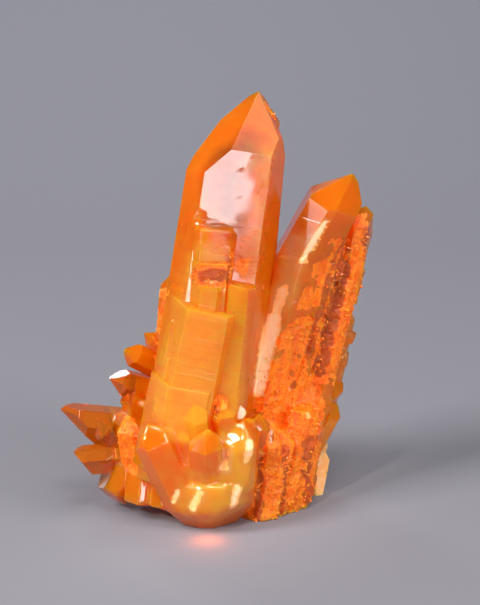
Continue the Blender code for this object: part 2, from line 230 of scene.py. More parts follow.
# %% [markdown]
# ## The stone
# The real cluster is one stone: its crystals grew into each other from a common root, so the solid
# of the whole cluster is copied as one mesh and worked on from there. The copy's corners are joined
# first, because a mesh that comes out of a file often has every triangle on its own.

# %% Copy the solid
SAME_POINT = 1e-6
NEARLY_FLAT = math.radians(0.3)


def merged_copy(node):
    """A bmesh of the solid with whole flat faces, ready to be cut."""
    form = bmesh.new()
    form.from_mesh(node.data)
    bmesh.ops.remove_doubles(form, verts=form.verts, dist=SAME_POINT)
    bmesh.ops.dissolve_limit(form, angle_limit=NEARLY_FLAT, verts=form.verts, edges=form.edges)
    form.normal_update()
    return form


def odd_edges(form):
    """How many edges do not lie between exactly two faces."""
    return sum(1 for edge in form.edges if not edge.is_manifold)


def named_mesh(form, name):
    """Turns a bmesh into an object of the scene."""
    mesh = bpy.data.meshes.new(name)
    form.to_mesh(mesh)
    form.free()
    return add(name, mesh)


stone_form = merged_copy(solid)
print("the copy has", len(stone_form.faces), "faces and", odd_edges(stone_form), "odd edges")

# %% [markdown]
# ## Growth lines
# A quartz crystal adds stone in thin layers, and each layer ends in a ledge across the crystal. On
# this kind of quartz the ledges are well seen, like the rungs of a ladder. They could be painted
# with a bump alone, but real ledges catch the light as they do on the stone. So the sides of each
# big crystal are cut across at uneven heights, and each land between two cuts is sunk a little.

# %% Cut the growth lines
GROWN = (
    # foot and tip of the crystal, how far its sides reach, lands, deepest land, in millimetres,
    # and how strongly the fine lines show
    ("tall", (-4.5, -7.4, 10), (11.7, 9.6, 119.4), 21, 34, 0.05, 0.12),
    ("leaning", (8.3, 11.6, 40), (37.9, 3.6, 96.6), 14, 22, 0.05, 0.5),
    ("leaning_body", (11.1, 3.8, -3), (34.3, 8.3, 86), 17, 46, 0.09, 1.0),
    ("coated", (20.3, 5.6, -3), (42.8, 12.6, 86), 9, 40, 0.14, 1.0),
    ("front", (-11.7, -14.4, 16), (-0.9, -11.9, 70), 13, 34, 0.06, 1.0),
    ("rib", (1.1, -17.9, 20), (7.4, -12.9, 78), 7, 40, 0.08, 1.0),
    ("left_spear", (-19.7, 2.6, 25.2), (-45.1, -3.4, 29.9), 9, 12, 0.04, 0.5),
    ("lower_spear", (-17.7, -0.4, 18.2), (-40.3, -8.4, 19.0), 8, 12, 0.04, 0.5),
)
SIDE_LEAN = math.sin(math.radians(5))  # how far a crystal's side may lean from its length
LEDGE = 0.14 * MM
LEDGE_TILT = 0.02  # how far a ledge may lean from square, as a slope
LAND_SLOPE = 0.006  # how much deeper a land may get along its height
GROWTH_SEED = 11


def length_of(foot, tip):
    """Where a crystal starts, which way it points and how long it is, in metres."""
    foot = Vector(foot) * MM
    along = Vector(tip) * MM - foot
    return foot, along.normalized(), along.length


def sides_of(form, foot, along, length, reach):
    """The faces that stand along a crystal, between its foot and its tip and within its reach."""
    found = []
    for face in form.faces:
        middle = face.calc_center_median() - foot
        level = middle.dot(along)
        across = (middle - along * level).length
        if abs(face.normal.dot(along)) < SIDE_LEAN and across < reach and 0 < level < length:
            found.append(face)
    return found


def each_once(parts):
    """The parts without repeats, in the order they come. A set would give a new order each run."""
    return list(dict.fromkeys(parts))


def cut_across(form, faces, place, normal):
    """Cuts the faces with a plane, and gives back the same faces with the new ones."""
    edges = each_once(edge for face in faces for edge in face.edges)
    corners = each_once(corner for face in faces for corner in face.verts)
    before = list(faces) + edges + corners
    made = bmesh.ops.bisect_plane(form, geom=before, dist=SAME_POINT, plane_co=place, plane_no=normal)
    return [part for part in made["geom"] if isinstance(part, bmesh.types.BMFace)]


def cut_growth_lines(form, foot, tip, reach, lands, deepest, chance):
    """Cuts ledges across a crystal's sides and sinks each land between them by a depth of its own."""
    foot, along, length = length_of(foot, tip)
    faces = sides_of(form, foot, along, length, reach * MM)
    levels = sorted(chance.uniform(0, length) for _ in range(lands))
    tilts = [Vector([chance.uniform(-LEDGE_TILT, LEDGE_TILT) for _ in range(3)]) for _ in levels]
    for level, tilt in zip(levels, tilts):
        normal = (along + tilt).normalized()
        for step in (level, level + LEDGE):
            faces = cut_across(form, faces, foot + along * step, normal)
    depths = [chance.uniform(0, deepest) * MM for _ in range(lands + 1)]
    slopes = [chance.uniform(-LAND_SLOPE, LAND_SLOPE) for _ in range(lands + 1)]
    own = set(faces)
    for corner in each_once(corner for face in faces for corner in face.verts):
        level = (corner.co - foot).dot(along)
        land = sum(1 for edge in levels if edge + LEDGE / 2 < level)
        start = levels[land - 1] if land else 0
        inward = Vector((0, 0, 0))
        for face in corner.link_faces:
            if face in own:
                inward -= face.normal
        inward.normalize()
        corner.co += inward * max(0, depths[land] + slopes[land] * (level - start))
    return len(faces)


chance = random.Random(GROWTH_SEED)
for name, foot, tip, reach, lands, deepest, _ in GROWN:
    cut = cut_growth_lines(stone_form, foot, tip, reach, lands, deepest, chance)
    stone_form.normal_update()
    print(name, "now has", cut, "faces along its sides")

# %% [markdown]
# ## Clear tips
# The ends of a few side crystals are so clear that the floor shows through them. Glass needs a
# closed mesh with an inside of its own, so each of these ends is cut off the stone with a plane,
# and the cut is closed on both sides. A hair of air between the two keeps the faces apart.

# %% Cut off the clear tips
CLEAR_TIPS = (
    # foot and tip of the crystal, how far its sides reach, how long the clear end is, in millimetres
    ("left_spear_tip", (-19.7, 2.6, 25.2), (-45.1, -3.4, 29.9), 9, 14.0),
    ("lower_spear_tip", (-17.7, -0.4, 18.2), (-40.3, -8.4, 19.0), 8, 10.5),
    ("left_clear_tip", (-15.7, 5.6, 32), (-30.7, -2.4, 38.6), 5, 6.5),
)
GAP = 0.03 * MM


def near_axis(form, foot, along, reach, lowest):
    """The faces with a corner inside a round bar along a crystal, from the lowest level up."""
    found = []
    for face in form.faces:
        for corner in face.verts:
            level = (corner.co - foot).dot(along)
            if level > lowest and (corner.co - foot - along * level).length < reach:
                found.append(face)
                break
    return found


def connected(first, inside):
    """The faces that hang together with the first one and lie inside, in the order they are met."""
    found = [first]
    known = {first}
    waiting = [first]
    while waiting:
        for edge in waiting.pop().edges:
            for face in edge.link_faces:
                if face not in known and inside(face):
                    known.add(face)
                    found.append(face)
                    waiting.append(face)
    return found


def closed(form):
    """Fills the open rims of a mesh, each with one face, and turns all faces outwards."""
    rim = [edge for edge in form.edges if edge.is_boundary]
    bmesh.ops.holes_fill(form, edges=rim, sides=0)
    bmesh.ops.recalc_face_normals(form, faces=form.faces)
    form.normal_update()


def tip_taken(form, foot, tip, reach, clear_length):
    """Cuts the end of a crystal off the stone and gives it back as a closed mesh of its own."""
    foot, along, length = length_of(foot, tip)
    cut_level = length - clear_length * MM
    faces = near_axis(form, foot, along, reach * MM, cut_level)
    cut_across(form, faces, foot + along * cut_level, along)

    def beyond(face):
        for corner in face.verts:
            level = (corner.co - foot).dot(along)
            across = (corner.co - foot - along * level).length
            if level < cut_level - SAME_POINT or across > 2 * reach * MM:
                return False
        return True

    ends = [face for face in near_axis(form, foot, along, reach * MM, cut_level) if beyond(face)]
    farthest = max(ends, key=lambda face: (face.calc_center_median() - foot).dot(along))
    own = connected(farthest, beyond)
    end = bmesh.new()
    copies = {}
    for face in own:
        for corner in face.verts:
            if corner not in copies:
                copies[corner] = end.verts.new(corner.co)
        end.faces.new([copies[corner] for corner in face.verts])
    bmesh.ops.delete(form, geom=own, context="FACES")
    for corner in end.verts:
        if (corner.co - foot).dot(along) < cut_level + GAP:
            corner.co += along * GAP
    closed(end)
    closed(form)
    return end


tip_forms = []
for name, foot, tip, reach, clear_length in CLEAR_TIPS:
    end = tip_taken(stone_form, foot, tip, reach, clear_length)
    print(name, "has", len(end.faces), "faces and", odd_edges(end), "odd edges")
    tip_forms.append((name, end))
print("the stone now has", odd_edges(stone_form), "odd edges")

# %% [markdown]
# ## Where the stone is coated, milky, etched or worn
# Iron oxide settled on this stone in places: a rough red-orange crust covers the right-hand crystals and
# the root on the right, and the darkest of it lies in grooves. Other parts are milky inside, pale with
# frost and with painted highlights and sheen, etched, very clear or rounded. Each of these fades out over
# the stone.
# They could be painted by hand, but a list of round-ended bars is shorter and easy to change: each
# bar runs from one point to another in millimetres, has a reach, and is strongest in its middle.

# %% Name the places
COATED = (
    # from, to, how far it reaches, how strong, in millimetres
    ((38.5, 5.2, 79), (29.0, 2.2, 42), 3.4, 1.5),
    ((42.0, 7.5, 80), (33.0, 2.5, 40), 6.5, 1.15),
    ((26.0, -0.5, 54), (15.5, -3.0, 32), 9.0, 1.0),
    ((33.6, 1.4, 77), (22.0, -1.2, 45), 5.2, 0.9),
    ((34.0, 0.5, 76), (31.0, 0.5, 62), 4.5, 0.45),
    ((23.0, -7.0, 30), (20.0, -9.0, 2), 13.0, 1.5),
    ((11.0, -15.0, 14), (12.0, -15.0, 0), 5.0, 1.0),
    ((-3.0, -17.5, 72.6), (2.5, -17.0, 72.6), 4.0, 2.0),
    ((5.5, -14.0, 77), (4.0, -15.5, 71), 2.6, 1.2),
    ((-25.8, -11.4, 26), (-25.0, -12.0, 17), 5.0, 1.4),
    ((-31.0, -7.5, 22), (-30.0, -7.0, 18), 3.5, 1.0),
    ((1.0, -20.0, 37), (2.0, -19.0, 31), 3.4, 0.95),
    ((-16.0, 1.0, 62), (-14.0, -2.0, 34), 4.5, 0.9),
    ((36.0, 16.0, 60), (24.0, 22.0, 14), 9.0, 1.1),
    ((8.0, 28.0, 22), (-10.0, 24.0, 12), 9.0, 1.0),
    ((14.6, 8.0, 116), (15.0, 8.0, 108), 2.2, 1.0),
    ((-9.5, -9.5, 88), (-11.0, -9.0, 66), 5.0, 0.32),
    ((14.0, -4.0, 84), (13.0, -4.0, 62), 4.5, 0.32),
    ((9.0, -10.5, 76), (5.0, -13.5, 72), 3.6, 0.6),
    ((-1.0, -19.0, 72), (-5.0, -20.0, 70), 3.0, 0.4),
)
MILKY = (
    ((-2.0, -20.0, 72), (-9.0, -23.0, 38), 12.0, 1.4),
    ((4.5, -18.0, 66), (4.5, -20.0, 36), 5.0, 1.2),
    ((21.5, -1.0, 78), (12.5, -3.0, 42), 4.0, 1.0),
    ((3.0, -15.0, 84), (8.0, -9.5, 100), 12.0, 0.4),
    ((5.0, -25.0, 27), (6.0, -25.0, 17), 6.5, 1.6),
    ((-4.0, -25.0, 12), (2.0, -27.0, 8), 9.0, 0.9),
    ((29.0, -3.0, 33), (27.0, -4.0, 26), 5.0, 1.3),
    ((30.5, 7.5, 14), (30.5, 9.0, 0), 5.0, 2.5),
    ((-3.0, -17.0, 70.5), (1.0, -17.0, 70.0), 2.0, 1.0),
)
ETCHED = (
    ((15.0, -6.5, 104), (11.5, -10.0, 74), 5.5, 1.5),
    ((9.0, -11.0, 84), (8.5, -11.5, 74), 5.0, 1.2),
    ((14.0, -2.0, 52), (12.0, -3.0, 36), 6.0, 1.4),
    ((-0.4, -15.2, 84), (-0.4, -16.5, 76), 5.0, 0.8),
)
FROST_AND_HIGHLIGHT = (
    # stone that looks white or pale peach: in part frosted skin and cracks that scatter light, in part
    # painted light: a painted sheen and highlight on the leaning crystal, painted reflections and sparkles
    # on the lump and the base
    ((23.0, -1.0, 78), (14.0, -2.0, 46), 3.6, 0.42),
    ((18.2, -1.6, 64), (15.6, -2.0, 55), 2.6, 0.85),
    ((16.0, -2.0, 56), (11.6, -3.4, 36), 2.9, 1.3),
    ((31.5, -2.0, 86.6), (23.9, -2.2, 73.2), 1.05, 1.7),
    ((30.7, 7.9, 14), (30.7, 8.5, 0), 6.0, 0.7),
    ((5.6, -25.4, 14), (5.0, -26.2, 8), 1.9, 1.1),
    ((-11.0, -24.6, 13), (-12.0, -24.6, 10), 1.2, 1.0),
    ((-4.6, -27.0, 13), (-6.6, -26.4, 8.5), 1.8, 0.8),
    ((-3.2, -17.6, 70.6), (1.6, -17.4, 70.2), 0.9, 0.8),
    ((9.0, -25.0, 27), (8.6, -26.0, 22), 1.6, 1.0),
    ((3.0, -25.8, 24), (2.0, -26.4, 20), 2.2, 0.7),
    ((27.6, -4.6, 34), (25.0, -6.4, 26), 4.0, 0.45),
)
CLEAR = (
    # so clear that little light comes back out, so a face is dark but for what it mirrors
    ((3.5, -8.8, 103), (2.5, -10.3, 88), 8.0, 1.0),
    ((11.0, -6.0, 112), (8.0, -6.6, 106), 7.0, 0.8),
    ((26.5, -1.0, 87), (22.0, -1.0, 76), 4.0, 0.5),
)
RUSTED = (
    # the darkest iron oxide, in grooves and under ledges
    ((38.2, 4.8, 80), (29.5, 2.0, 40), 2.4, 1.1),
    ((34.5, 3.0, 76), (26.5, 0.2, 46), 1.6, 0.75),
    ((43.0, 10.0, 79), (38.0, 8.0, 58), 3.0, 0.8),
    ((-3.4, -17.6, 72.4), (1.4, -17.4, 72.2), 2.2, 1.5),
    ((4.4, -14.6, 76), (3.8, -15.6, 70.4), 1.8, 1.1),
    ((1.0, -20.0, 35), (4.0, -19.0, 29), 2.6, 0.9),
    ((26.0, -5.0, 20), (27.0, -4.0, 4), 3.4, 0.9),
    ((12.0, -12.0, 26), (11.0, -15.5, 2), 2.0, 1.0),
    ((19.0, -11.0, 20), (19.0, -11.5, 2), 1.8, 0.8),
    ((-28.0, -10.0, 3), (-16.0, -16.0, 2), 3.0, 1.2),
    ((15.4, 6.0, 117), (16.4, 5.0, 108), 1.8, 1.0),
    ((-34.0, -6.0, 27), (-31.0, -6.0, 22), 2.4, 0.8),
)
SOFT = (
    # where the crystals are rounded and run into each other
    ((-0.4, -14.0, 86), (-0.4, -14.0, 84), 6.0, 1.0),
    ((-1.5, -17.0, 10), (-1.5, -17.0, 4), 17.0, 1.0),
    ((4.4, -21.0, 24), (4.4, -20.0, 12), 9.0, 1.0),
    ((-15.0, -22.0, 30), (-11.0, -20.0, 10), 8.0, 0.8),
    ((-24.5, -2.0, 32), (-24.0, -3.0, 26), 5.0, 0.9),
    ((-26.0, -10.0, 10), (-16.0, -14.0, 8), 7.0, 0.5),
    ((26.0, -4.0, 33), (22.0, -8.0, 26), 7.0, 0.6),
)
print("bars:", sum(len(bars) for bars in (COATED, MILKY, ETCHED, FROST_AND_HIGHLIGHT, CLEAR, RUSTED, SOFT)))

# %% [markdown]
# ## From bars to values
# A value is wanted at every corner of the mesh: 1 in the middle of a bar, 0 past its reach. NumPy
# works it out for all corners at once. A square root of what is left of the reach keeps the value
# high over most of the bar, so its edge is quick, and fractal noise breaks that edge up.

# %% Measure how much of a coat there is
COAT_CLOUD = 0.55  # how strongly noise breaks up the edge of the crust
CLOUD_ROUGHNESS = 0.6
CLOUD_STEP = 2.1  # each finer noise is smaller by this much
CLOUD_TURNS = 3


def grid_of(points):
    """The points as rows of a NumPy table."""
    return np.array([tuple(point) for point in points])


def amount(points, bars, cloud=0.0, cell=6.0):
    """How much of a coat lies at each point: 1 and more in the middle of a bar, 0 past its reach."""
    most = np.zeros(len(points))
    for start, end, reach, strength in bars:
        start = np.array(start) * MM
        line = np.array(end) * MM - start
        part = np.clip((points - start) @ line / (line @ line), 0, 1)
        away = np.linalg.norm(points - start - part[:, None] * line, axis=1)
        most = np.maximum(most, strength * np.sqrt(np.clip(1 - away / (reach * MM), 0, 1)))
    if cloud:
        shape = (CLOUD_ROUGHNESS, CLOUD_STEP, CLOUD_TURNS)
        rough = np.array([noise.fractal(Vector(point) / (cell * MM), *shape) for point in points])
        most = np.where(most > 0, most + cloud * rough, 0)
    return np.clip(most, 0, 1)


corners = grid_of(corner.co for corner in stone_form.verts)
print("corners in the crust so far:", int((amount(corners, COATED) > 0).sum()))

# %% [markdown]
# ## Small triangles where they are needed
# The solid has big flat faces, and a value at their corners alone could not change inside them. So
# the mesh is refined: any edge that is too long for its place is halved, and the new faces are cut
# into triangles. A Subdivision modifier would refine the whole stone and take many times as many.

# %% Refine the mesh
FINEST = 0.55 * MM  # triangles of the frosted stone and of the painted highlights
FINE = 0.95 * MM  # triangles of the crust
MIDDLING = 1.2 * MM  # triangles that are rounded
COARSE = 2.8 * MM  # triangles elsewhere
SOFT_FROM = 0.1  # the values from which on a place gets the smaller triangles
COATED_FROM = 0.25
FROST_AND_HIGHLIGHT_FROM = 0.45
MOST_TURNS = 9


def refine(form, longest):
    """Halves the edges that are longer than the given length at their middle, until none is."""
    for turn in range(MOST_TURNS):
        edges = list(form.edges)
        middles = grid_of((edge.verts[0].co + edge.verts[1].co) / 2 for edge in edges)
        lengths = np.array([edge.calc_length() for edge in edges])
        long_ones = [edges[number] for number in np.nonzero(lengths > longest(middles))[0]]
        if not long_ones:
            break
        bmesh.ops.subdivide_edges(form, edges=long_ones, cuts=1)
        bmesh.ops.triangulate(form, faces=[face for face in form.faces if len(face.verts) > 3])


def longest_edge(points):
    """How long an edge may be at each point."""
    length = np.where(amount(points, SOFT) > SOFT_FROM, MIDDLING, COARSE)
    length = np.where(amount(points, COATED) > COATED_FROM, FINE, length)
    return np.where(amount(points, FROST_AND_HIGHLIGHT) > FROST_AND_HIGHLIGHT_FROM, FINEST, length)


bmesh.ops.triangulate(stone_form, faces=stone_form.faces[:])
refine(stone_form, longest_edge)
print("the stone has", len(stone_form.faces), "triangles and", odd_edges(stone_form), "odd edges")

# %% [markdown]
# ## The bright front face
# The front of the tall crystal mirrors the front panel and looks nearly white. The solid has pits
# there, and at their full depth they break the white up too much. Filling them would take them
# away. Lifting their floors most of the way towards the face leaves shallow marks instead.

# %% Level the pits of the bright front face
BRIGHT_FACE = Vector((10.6, -8.9, 88.9)) * MM  # a point on it
BRIGHT_BEARING = 10.9
BRIGHT_RISE = 8.1
BRIGHT_HALF_WIDTH = 4 * MM  # how far the pits lie from the point, to the sides, down and up
BRIGHT_BELOW = -14 * MM
BRIGHT_ABOVE = 11 * MM
PIT_DEPTH = 1.6 * MM
LEVELLED = 0.85  # the pits keep the rest of their depth


def level_pits(form):
    """Lifts the floor of the pits close to the face, so that it mirrors as one face."""
    outward = around(1, BRIGHT_BEARING, BRIGHT_RISE, Vector((0, 0, 0)))
    lifted = 0
    for corner in form.verts:
        sunk = (BRIGHT_FACE - corner.co).dot(outward)
        beside = corner.co - BRIGHT_FACE + outward * sunk
        inside = abs(beside.x) < BRIGHT_HALF_WIDTH and BRIGHT_BELOW < beside.z < BRIGHT_ABOVE
        if inside and 0 < sunk < PIT_DEPTH:
            corner.co += outward * sunk * LEVELLED
            lifted += 1
    return lifted


print("corners lifted:", level_pits(stone_form))

# %% [markdown]
# ## The rounded base
# At its foot the stone is dissolved and worn: the crystals there are blunt and run into a lump. A
# Bevel modifier rounds edges alone. Here each corner moves half way to the middle of its
# neighbours, twelve times over, where the bars of SOFT say so, which rounds edges and faces alike.

# %% Round the front of the base
ROUNDING_TURNS = 12
ROUNDING_STEP = 0.5
FLAT_UNDERSIDE = 0.5 * MM  # the stone rests on what lies below this, so it stays flat


def rounded(form, bars, turns):
    """Moves each corner towards the middle of its neighbours, again and again, where bars say so."""
    form.verts.index_update()
    places = grid_of(corner.co for corner in form.verts)
    ends = np.array([(edge.verts[0].index, edge.verts[1].index) for edge in form.edges])
    ends = np.vstack((ends, ends[:, ::-1]))
    count = np.bincount(ends[:, 0], minlength=len(places))[:, None]
    share = ROUNDING_STEP * amount(places, bars)[:, None]
    share[places[:, 2] < FLAT_UNDERSIDE] = 0
    for turn in range(turns):
        total = np.zeros_like(places)
        np.add.at(total, ends[:, 0], places[ends[:, 1]])
        places += share * (total / count - places)
    for corner, place in zip(form.verts, places):
        corner.co = place
    return int((share > 0).sum())


print("corners rounded:", rounded(stone_form, SOFT, ROUNDING_TURNS))

# %% [markdown]
# ## The crust
# On the real stone the crust is a skin of iron oxide and of quartz crystals too small to tell apart.
# It is modelled in two steps. First the skin: noise at three sizes sinks the corners of the small
# triangles by up to about a millimetre. It only sinks them, so the stone stays inside its solid.

# %% Roughen the crust
HOLLOWS = (
    # how far apart, how deep, in millimetres
    (4.0, 0.45),
    (1.6, 0.30),
    (0.7, 0.16),
)
SKIN_FROM = 0.35  # the skin starts at this much coat and deepens from there
SKIN_DEPTH = 1.9 * MM


def roughen(form, deepest_first):
    """Sinks the corners of the coated stone along their normals, by noise of several sizes."""
    form.verts.ensure_lookup_table()
    coat = amount(grid_of(corner.co for corner in form.verts), COATED, COAT_CLOUD)
    form.normal_update()
    for corner, coated in zip(form.verts, coat):
        if coated > SKIN_FROM:
            sunk = 0.0
            for cell, depth in deepest_first:
                sunk += depth * abs(noise.noise(corner.co / (cell * MM)))
            corner.co -= corner.normal * sunk * SKIN_DEPTH * (coated - SKIN_FROM)
    return int((coat > 0.5).sum())


print("corners in the crust:", roughen(stone_form, HOLLOWS))

# %% [markdown]
# ## Values that the shaders read
# A shader can ask for an attribute of the mesh by its name. The coats are kept as one value for
# each corner. The growth lines need more: every crystal has lines across its own length, so each
# face has to know its crystal. Its corners keep how far up that crystal they are, as a face corner
# value, because two faces that meet at a ridge may belong to two crystals.

# %% Keep the values on the mesh
FARTHEST = 1.1  # a face may be this many reaches from its crystal's middle line
SIDE_SLOPE = 0.2  # how far the normal of a side may lean along its crystal
APART = 100  # keeps the lines of one crystal from those of the next, in millimetres
SMOOTH_FROM = 0.15


def crystal_of_faces(mesh):
    """For each face the number of the crystal whose side it is, and -1 for all other faces."""
    middles = grid_of(face.center for face in mesh.polygons)
    normals = grid_of(face.normal for face in mesh.polygons)
    best = np.full(len(middles), FARTHEST)
    owner = np.full(len(middles), -1)
    for number, (_, foot, tip, reach, _, _, _) in enumerate(GROWN):
        foot, along, length = length_of(foot, tip)
        level = (middles - np.array(foot)) @ np.array(along)
        across = np.linalg.norm(middles - np.array(foot) - level[:, None] * np.array(along), axis=1)
        closeness = across / (reach * MM)
        fits = (closeness < best) & (level > 0) & (level < length)
        fits &= np.abs(normals @ np.array(along)) < SIDE_SLOPE
        best[fits] = closeness[fits]
        owner[fits] = number
    return owner


def keep(mesh, name, values, domain="POINT"):
    """Writes values on the mesh as an attribute."""
    layer = mesh.attributes.new(name, "FLOAT", domain)
    layer.data.foreach_set("value", np.ascontiguousarray(values, dtype=np.float32))


def keep_growth(mesh):
    """Keeps for each face corner how far up its crystal it is, and how strong the lines are."""
    owner = crystal_of_faces(mesh)
    places = grid_of(corner.co for corner in mesh.vertices)
    corner_of = np.array([loop.vertex_index for loop in mesh.loops])
    face_of = np.repeat(np.arange(len(mesh.polygons)), [len(face.vertices) for face in mesh.polygons])
    level = places[corner_of][:, 2] / MM
    for number, (_, foot, tip, _, _, _, _) in enumerate(GROWN):
        foot, along, _ = length_of(foot, tip)
        own = owner[face_of] == number
        level[own] = (places[corner_of][own] - np.array(foot)) @ np.array(along) / MM + APART * number
    keep(mesh, "growth", level, "CORNER")
    shown = np.array([row[-1] for row in GROWN] + [0.0])
    keep(mesh, "lined", shown[owner[face_of]], "CORNER")


stone = named_mesh(stone_form, "quartz_stone")
places = grid_of(corner.co for corner in stone.data.vertices)
keep_growth(stone.data)
for name, bars, cloud, cell in (
    # attribute, its bars, how strongly noise breaks it up, how far apart the noise is
    ("coat", COATED, COAT_CLOUD, 6.0),
    ("milk", MILKY, 0.5, 9.0),
    ("etch", ETCHED, 0.6, 6.0),
    # the frost values hold frosted skin and also painted highlights and sheen
    ("frost_and_highlight", FROST_AND_HIGHLIGHT, 0.18, 3.0),
    ("clear", CLEAR, 0.2, 5.0),
    ("rust", RUSTED, 0.5, 2.5),
):
    values = amount(places, bars, cloud, cell)
    keep(stone.data, name, values)
    print(name, "reaches", int((values > 0).sum()), "corners")
soft = amount(places, SOFT)
for face in stone.data.polygons:
    face.use_smooth = bool(soft[face.vertices[0]] > SMOOTH_FROM)

# %% [markdown]
# ## Colour and finish
# Tangerine quartz is clear quartz coloured by iron oxide, so light goes into it, is turned orange
# and comes out again somewhere else. The shader mixes glass with subsurface scattering for that.
# What changes over the stone comes from three small node groups, each made once and used by
# every material that needs it: growth lines, milky clouds and iron flecks.

# %% Small helpers for shader nodes
def new_node(tree, kind, **values):
    """Adds a node. A value is a number, a colour, or a socket of another node to link from."""
    made = tree.nodes.new(kind)
    for name, value in values.items():
        socket = made.inputs[int(name[1:])] if name[0] == "n" and name[1:].isdigit() else made.inputs[name]
        if isinstance(value, bpy.types.NodeSocket):
            tree.links.new(value, socket)
        else:
            socket.default_value = value
    return made


def maths(tree, operation, first, second=0.0, third=0.0):
    """One sum. MULTIPLY_ADD gives first times second plus third."""
    made = new_node(tree, "ShaderNodeMath", n0=first, n1=second, n2=third)
    made.operation = operation
    return made.outputs[0]


def mixed(tree, factor, first, second):
    """One colour turning into another."""
    made = tree.nodes.new("ShaderNodeMix")
    made.data_type = "RGBA"
    for number, value in ((0, factor), (6, first), (7, second)):
        if isinstance(value, bpy.types.NodeSocket):
            tree.links.new(value, made.inputs[number])
        else:
            made.inputs[number].default_value = value
    return made.outputs[2]


def stepped(tree, value, low, high):
    """0 below low, 1 above high and smooth between."""
    made = new_node(tree, "ShaderNodeMapRange", n0=value, n1=low, n2=high)
    made.interpolation_type = "SMOOTHSTEP"
    return made.outputs[0]


def noise_at(tree, place, scale, detail=3.0, rough=0.6):
    """Noise with about that many lumps to a millimetre."""
    made = new_node(tree, "ShaderNodeTexNoise", Vector=place, Scale=scale, Detail=detail, Roughness=rough)
    return made.outputs[0]


def attribute(tree, name):
    """A value that was kept on the mesh."""
    made = tree.nodes.new("ShaderNodeAttribute")
    made.attribute_name = name
    return made.outputs["Fac"]


def place_in_mm(tree):
    """Where a point is on the stone, in millimetres."""
    where = tree.nodes.new("ShaderNodeTexCoord").outputs["Object"]
    made = new_node(tree, "ShaderNodeVectorMath", n0=where, n3=1 / MM)
    made.operation = "SCALE"
    return made.outputs[0]


def drawn_out(tree, place, lean, share):
    """The same place with its height pressed together, which draws a texture out along a crystal."""
    turned = new_node(tree, "ShaderNodeMapping", Vector=place, Rotation=(0, math.radians(-lean), 0))
    return new_node(tree, "ShaderNodeMapping", Vector=turned.outputs[0], Scale=(1, 1, share)).outputs[0]


def new_group(name, sockets_in, sockets_out):
    """A node group with named inputs and outputs."""
    group = bpy.data.node_groups.new(name, "ShaderNodeTree")
    for label, kind in sockets_in:
        group.interface.new_socket(label, in_out="INPUT", socket_type=kind)
    for label, kind in sockets_out:
        group.interface.new_socket(label, in_out="OUTPUT", socket_type=kind)
    return group, group.nodes.new("NodeGroupInput"), group.nodes.new("NodeGroupOutput")


def use_group(tree, group):
    made = tree.nodes.new("ShaderNodeGroup")
    made.node_tree = group
    return made


def new_material(name):
    """A material with its node tree and its Principled shader."""
    material = bpy.data.materials.new(name)
    material.use_nodes = True
    return material, material.node_tree, material.node_tree.nodes["Principled BSDF"]


def wandering(shader, shares, scale):
    """Lets light wander under the surface. The shares are for red, green and blue."""
    shader.inputs["Subsurface Weight"].default_value = 1.0
    shader.inputs["Subsurface Radius"].default_value = shares
    shader.inputs["Subsurface Scale"].default_value = scale


def bumped(tree, shader, height, depth, strength):
    """Makes a height from 0 to 1 look that deep."""
    bump = new_node(tree, "ShaderNodeBump", Height=height, Distance=depth, Strength=strength)
    tree.links.new(bump.outputs[0], shader.inputs["Normal"])


def absorbing(tree, colour, density):
    """Takes all but this colour out of light on its way through, faster the higher the density."""
    volume = new_node(tree, "ShaderNodeVolumeAbsorption", Color=colour, Density=density)
    tree.links.new(volume.outputs[0], tree.nodes["Material Output"].inputs["Volume"])


print("helpers for shader nodes are ready")

# %% [markdown]
# ## Fine growth lines
# Between the ledges that are cut, the real crystal has many finer ones, too thin for geometry. The
# shader makes them as bands: the level up the crystal is counted in steps, and white noise gives
# each step a height of its own. Three sizes of band together look like nature. A wave texture
# would be simpler, but its lines are all alike.

# %% A node group for growth lines
BAND_SIZES = (
    # bands to a millimetre, share of the height
    (0.55, 0.45),
    (1.7, 0.35),
    (4.6, 0.20),
)
SWAY = 1.1  # how far the bands wander up and down, in millimetres
BARE_BANDS = 0.45  # the share of the bands that have no dark line


def growth_group():
    """Terraces across a crystal: each band has a height of its own, and a dark line where it ends."""
    group, given, put = new_group(
        "growth_lines",
        (("Place", "NodeSocketVector"), ("Level", "NodeSocketFloat")),
        (("Height", "NodeSocketFloat"), ("Line", "NodeSocketFloat")),
    )
    sway = maths(group, "SUBTRACT", noise_at(group, given.outputs["Place"], 0.16), 0.5)
    level = maths(group, "MULTIPLY_ADD", sway, SWAY, given.outputs["Level"])
    height = 0.0
    line = 0.0
    for often, share in BAND_SIZES:
        count = maths(group, "MULTIPLY", level, often)
        band = group.nodes.new("ShaderNodeTexWhiteNoise")
        band.noise_dimensions = "1D"
        group.links.new(maths(group, "FLOOR", count), band.inputs["W"])
        height = maths(group, "MULTIPLY_ADD", band.outputs["Value"], share, height)
        rim = maths(group, "LESS_THAN", maths(group, "FRACT", count), 0.09 * often + 0.03)
        shown = maths(group, "GREATER_THAN", band.outputs["Value"], BARE_BANDS)
        line = maths(group, "MAXIMUM", line, maths(group, "MULTIPLY", rim, shown))
    patches = stepped(group, noise_at(group, given.outputs["Place"], 0.33), 0.42, 0.6)
    group.links.new(height, put.inputs["Height"])
    group.links.new(maths(group, "MULTIPLY", line, patches), put.inputs["Line"])
    return group


growth_lines = growth_group()
print(growth_lines.name, "has", len(growth_lines.nodes), "nodes")

# %% [markdown]
# ## Milky clouds
# Milky quartz holds tiny bubbles in veils that follow the way the crystal grew. Real volume clouds
# are slow to render, so the clouds only change the colour that light meets under the surface.
# Noise that is drawn out upwards and warped gives their shape.

# %% A node group for milky clouds
CLOUD_STRETCH = (1, 1, 0.45)
CLOUD_SCALE = 0.11
CLOUD_WARP = 1.2
CLOUD_SPREAD = 1.5


